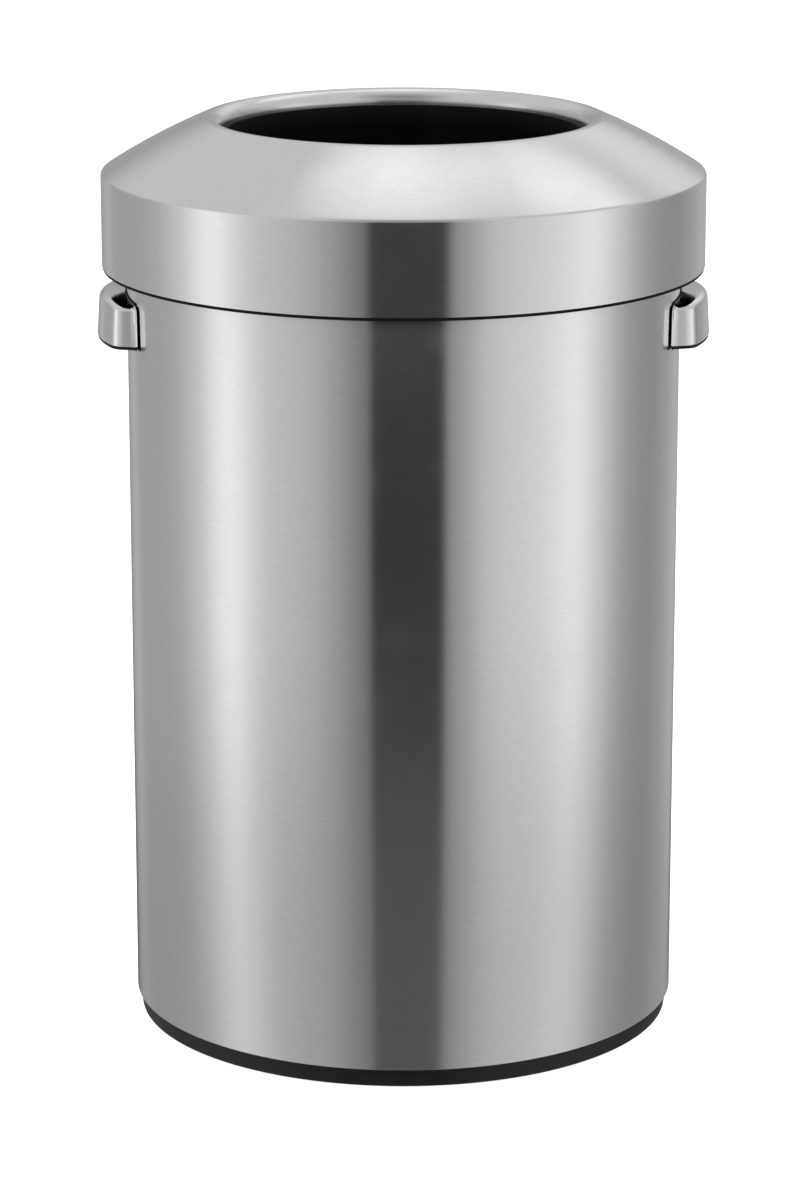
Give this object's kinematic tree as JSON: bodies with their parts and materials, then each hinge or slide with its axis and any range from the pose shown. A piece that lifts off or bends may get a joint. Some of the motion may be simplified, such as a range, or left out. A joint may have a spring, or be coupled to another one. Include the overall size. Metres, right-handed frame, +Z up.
{
  "type": "open-top trash can",
  "caption": "Free-standing round steel trash can with a lift-off domed lid round an open mouth, a hanging liner, and a cup handle on each side to carry it by.",
  "frame": {"origin": "on the floor, on the can's axis: the middle of the underside", "axes": "+Z up along the can's axis, -Y towards the front as pictured, handles at +X and -X"},
  "size_m": [0.4268, 0.419, 0.642],
  "materials": {
    "brushed_stainless": "brushed round the can",
    "polished_chrome": "polished",
    "black_plastic": "fine satin",
    "handle_plastic": "fine satin",
    "liner_plastic": "matt, moulded",
    "rubber": "matt",
    "zinc_steel": "zinc plated",
    "screw_steel": "plain",
    "rivet_aluminium": "plain"
  },
  "bodies": {
    "body": {"body_shell": "brushed_stainless", "base_ring": "black_plastic", "foot_pads": "rubber", "bottom_pan": "zinc_steel", "base_rivets": "rivet_aluminium", "top_collar": "black_plastic", "right_handle_shell": "polished_chrome", "right_handle_insert": "handle_plastic", "right_handle_gasket": "rubber", "right_handle_backing_plate": "zinc_steel", "right_handle_screws": "screw_steel", "left_handle_shell": "polished_chrome", "left_handle_insert": "handle_plastic", "left_handle_gasket": "rubber", "left_handle_backing_plate": "zinc_steel", "left_handle_screws": "screw_steel"},
    "liner": {"liner_bucket": "liner_plastic"},
    "lid": {"lid_cover": "brushed_stainless", "lid_frame": "black_plastic", "throat_ring": "black_plastic", "lid_tabs": "zinc_steel", "lid_screws": "screw_steel", "lid_bumpers": "rubber"}
  },
  "joints": [
    {"name": "liner_lift", "type": "slide", "parent": "body", "child": "liner", "axis": [0, 0, 1], "range_m": [0, 0.56]},
    {"name": "lid_lift", "type": "slide", "parent": "liner", "child": "lid", "axis": [0, 0, 1], "range_m": [0, 0.2]}
  ]
}
